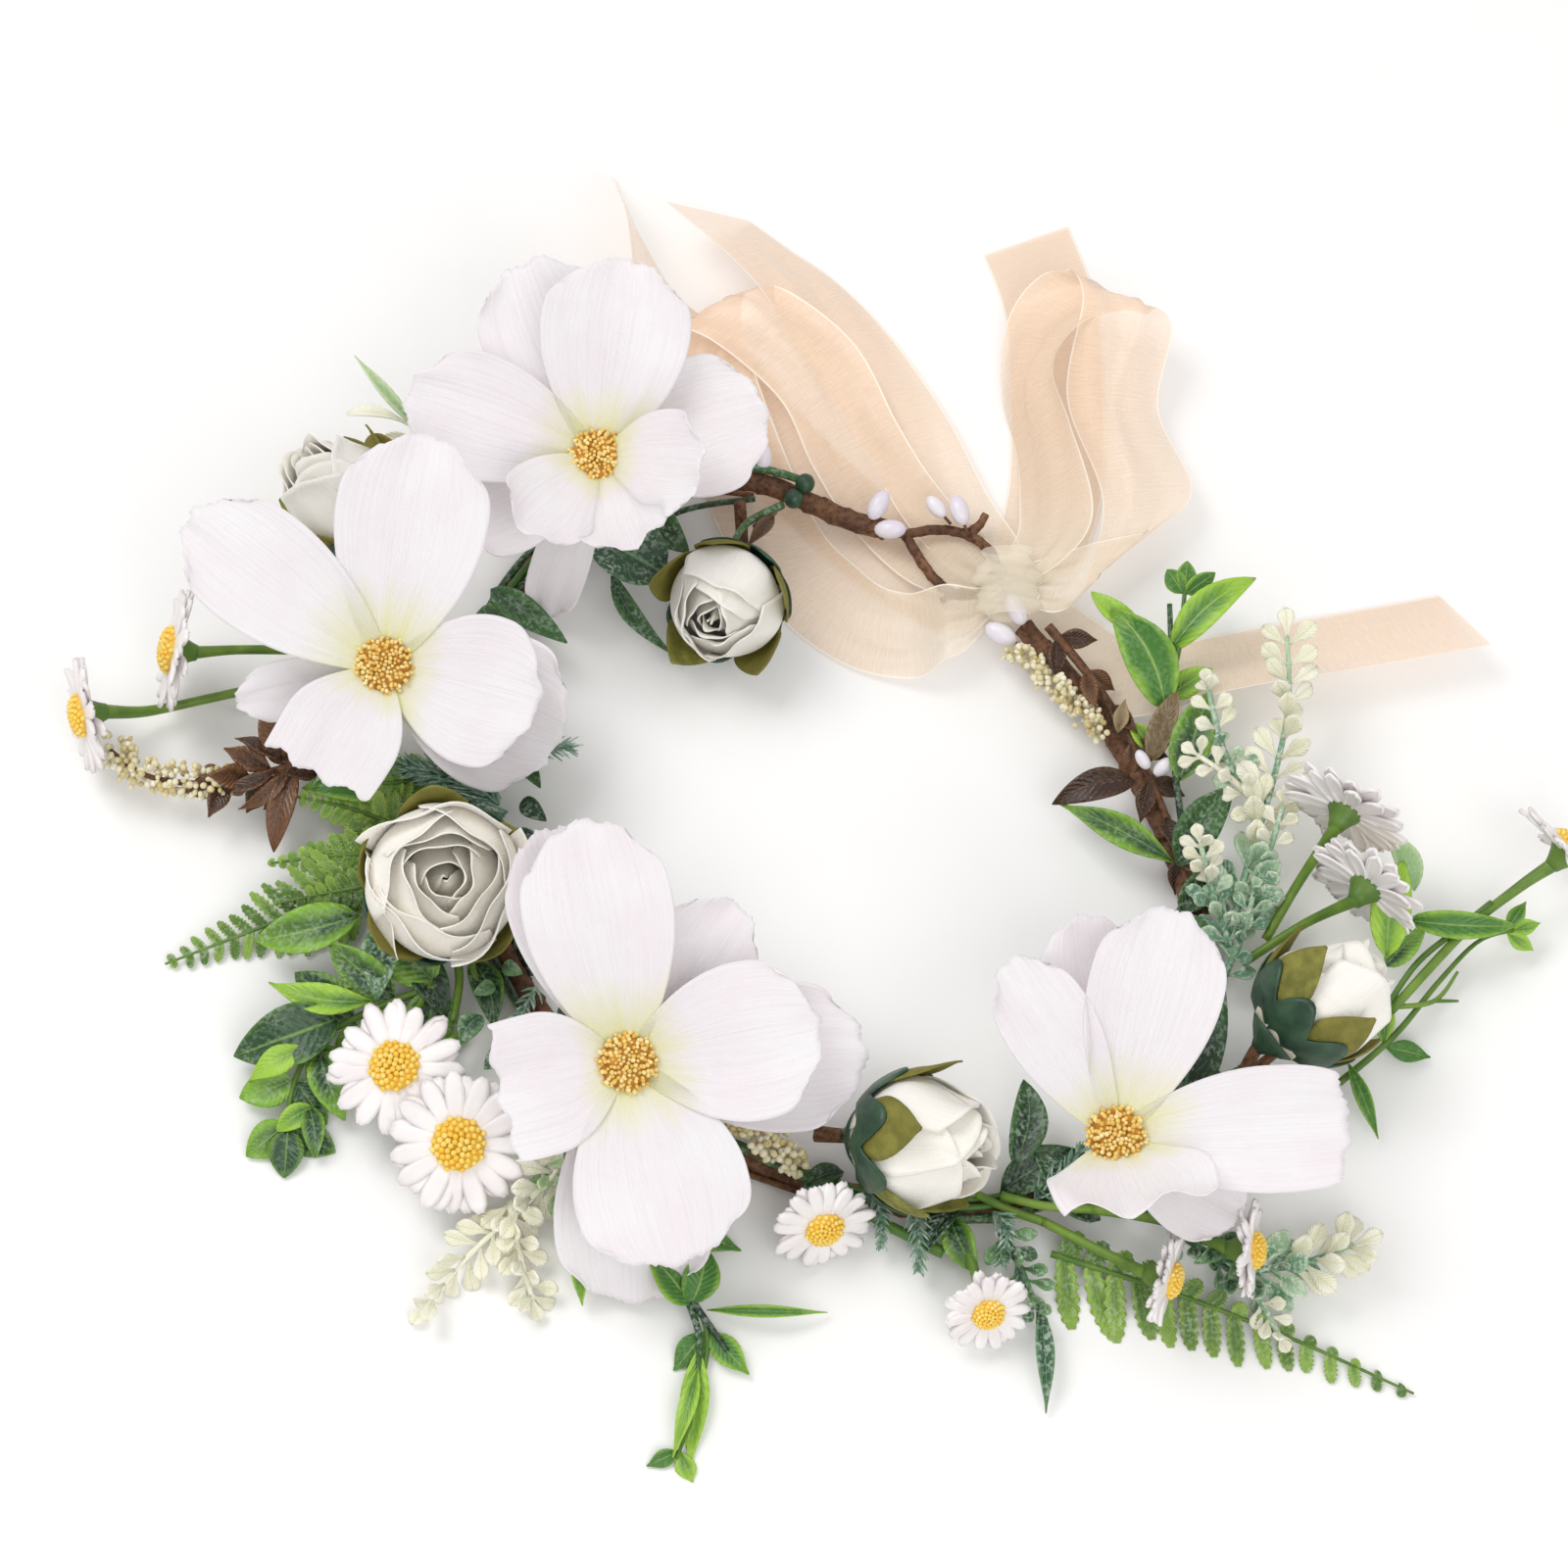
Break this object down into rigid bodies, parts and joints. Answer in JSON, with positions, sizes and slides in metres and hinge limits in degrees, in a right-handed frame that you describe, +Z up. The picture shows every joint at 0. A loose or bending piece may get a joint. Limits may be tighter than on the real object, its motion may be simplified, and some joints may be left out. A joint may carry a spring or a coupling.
{
  "type": "flower crown",
  "caption": "Open wire hoop in brown floral tape, tied with an organza bow and trimmed with cosmos heads, rosebuds, daisies, ferns and leafy sprays.",
  "frame": {"origin": "centre of the head opening, on the table plane that the crown lies on", "axes": "+Z up out of the table, +Y towards the bow at the back, +X to the right"},
  "size_m": [0.3859, 0.359, 0.0622],
  "materials": {
    "core_wire": "drawn iron wire",
    "floral_tape": "brown crepe floral tape",
    "organza_ribbon": "sheer ivory-peach organza, semi-transparent",
    "petal_cloth": "white woven petal cloth with a faint pink tint, matt",
    "stamens": "golden granular stamens",
    "green_stem": "moulded green stem, satin",
    "bud_cloth": "ivory rose petal cloth",
    "sepal_cloth": "olive felt-like sepal cloth",
    "daisy_plastic": "white moulded rays with a yellow button on a green stem",
    "leaf_plastic": "green moulded leaves, some frosted",
    "lavender_plastic": "cream moulded lavender-like sprig",
    "brown_leaf": "glossy brown moulded leaves",
    "berries": "cream beads with fine glitter"
  },
  "bodies": {
    "root": {"berry_cluster_front": "berries", "berry_twig_right": "brown_leaf", "brown_berry_spray_left": "brown_leaf", "cosmos_back_back_petals": "petal_cloth", "cosmos_back_front_petals": "petal_cloth", "cosmos_back_stamens": "stamens", "cosmos_back_stem": "green_stem", "cosmos_front_back_petals": "petal_cloth", "cosmos_front_front_petals": "petal_cloth", "cosmos_front_stamens": "stamens", "cosmos_front_stem": "green_stem", "cosmos_left_back_petals": "petal_cloth", "cosmos_left_front_petals": "petal_cloth", "cosmos_left_stamens": "stamens", "cosmos_left_stem": "green_stem", "cosmos_right_back_petals": "petal_cloth", "cosmos_right_front_petals": "petal_cloth", "cosmos_right_stamens": "stamens", "cosmos_right_stem": "green_stem", "daisy_far_right": "daisy_plastic", "daisy_front_left_lower": "daisy_plastic", "daisy_front_left_upper": "daisy_plastic", "daisy_front_middle": "daisy_plastic", "daisy_front_right_a": "daisy_plastic", "daisy_front_right_b": "daisy_plastic", "daisy_front_right_c": "daisy_plastic", "daisy_left_inner": "daisy_plastic", "daisy_left_outer": "daisy_plastic", "daisy_right_lower": "daisy_plastic", "daisy_right_upper": "daisy_plastic", "eucalyptus_spray": "leaf_plastic", "fern_front": "leaf_plastic", "fern_left": "leaf_plastic", "hoop_core_wire": "core_wire", "hoop_end_eye": "floral_tape", "lavender_left": "lavender_plastic", "lavender_right": "lavender_plastic", "leaf_spray_far_right": "leaf_plastic", "leaf_spray_front": "leaf_plastic", "leafy_spray_back_right": "leaf_plastic", "ranunculus_left_bloom": "bud_cloth", "ranunculus_left_sepals": "sepal_cloth", "ribbon_knot": "organza_ribbon", "ribbon_loop_left": "organza_ribbon", "ribbon_loop_right": "organza_ribbon", "ribbon_tail_far_left": "organza_ribbon", "ribbon_tail_left": "organza_ribbon", "ribbon_tail_right": "organza_ribbon", "ribbon_tail_short": "organza_ribbon", "rosebud_back_bloom": "bud_cloth", "rosebud_back_sepals": "sepal_cloth", "rosebud_front_bloom": "bud_cloth", "rosebud_front_sepals": "sepal_cloth", "rosebud_inner_bloom": "bud_cloth", "rosebud_inner_sepals": "sepal_cloth", "rosebud_right_bloom": "bud_cloth", "rosebud_right_sepals": "sepal_cloth", "tape_wrap_back": "floral_tape", "tape_wrap_front": "floral_tape", "tape_wrap_right": "floral_tape"}
  },
  "joints": []
}
